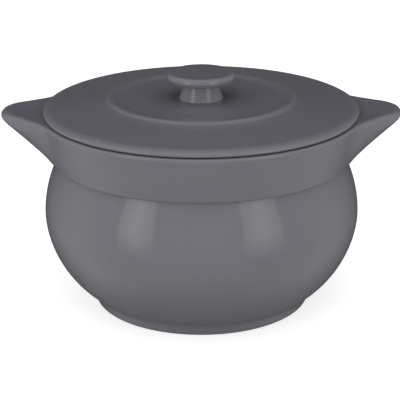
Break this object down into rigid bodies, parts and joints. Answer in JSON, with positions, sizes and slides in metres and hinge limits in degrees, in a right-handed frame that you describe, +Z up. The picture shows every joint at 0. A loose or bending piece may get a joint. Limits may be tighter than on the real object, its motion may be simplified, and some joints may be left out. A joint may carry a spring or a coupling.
{
  "type": "lidded soup bowl",
  "caption": "Round-bellied glazed porcelain bowl on a foot ring, with a flared collar, side lugs to carry it by and a loose lid with a ridge and a disc knob, for serving soup.",
  "frame": {"origin": "middle of the foot ring's standing face, on the surface that the bowl stands on", "axes": "+X through the right lug handle, +Y to the back, +Z up through the lid's knob"},
  "size_m": [0.258, 0.207, 0.1531],
  "materials": {
    "glaze": "glossy dark grey glaze, fired over porcelain, bare only where the foot ring and the lid's flange stand in the kiln"
  },
  "bodies": {
    "bowl": {"bowl_body": "glaze", "foot_ring": "glaze", "rim_collar": "glaze", "lug_handle_right": "glaze", "lug_handle_left": "glaze"},
    "lid": {"lid_plate": "glaze", "lid_flange": "glaze", "lid_knob": "glaze"}
  },
  "joints": [
    {"name": "lid_lift", "type": "slide", "parent": "bowl", "child": "lid", "axis": [0, 0, 1], "range_m": [0, 0.12]}
  ]
}
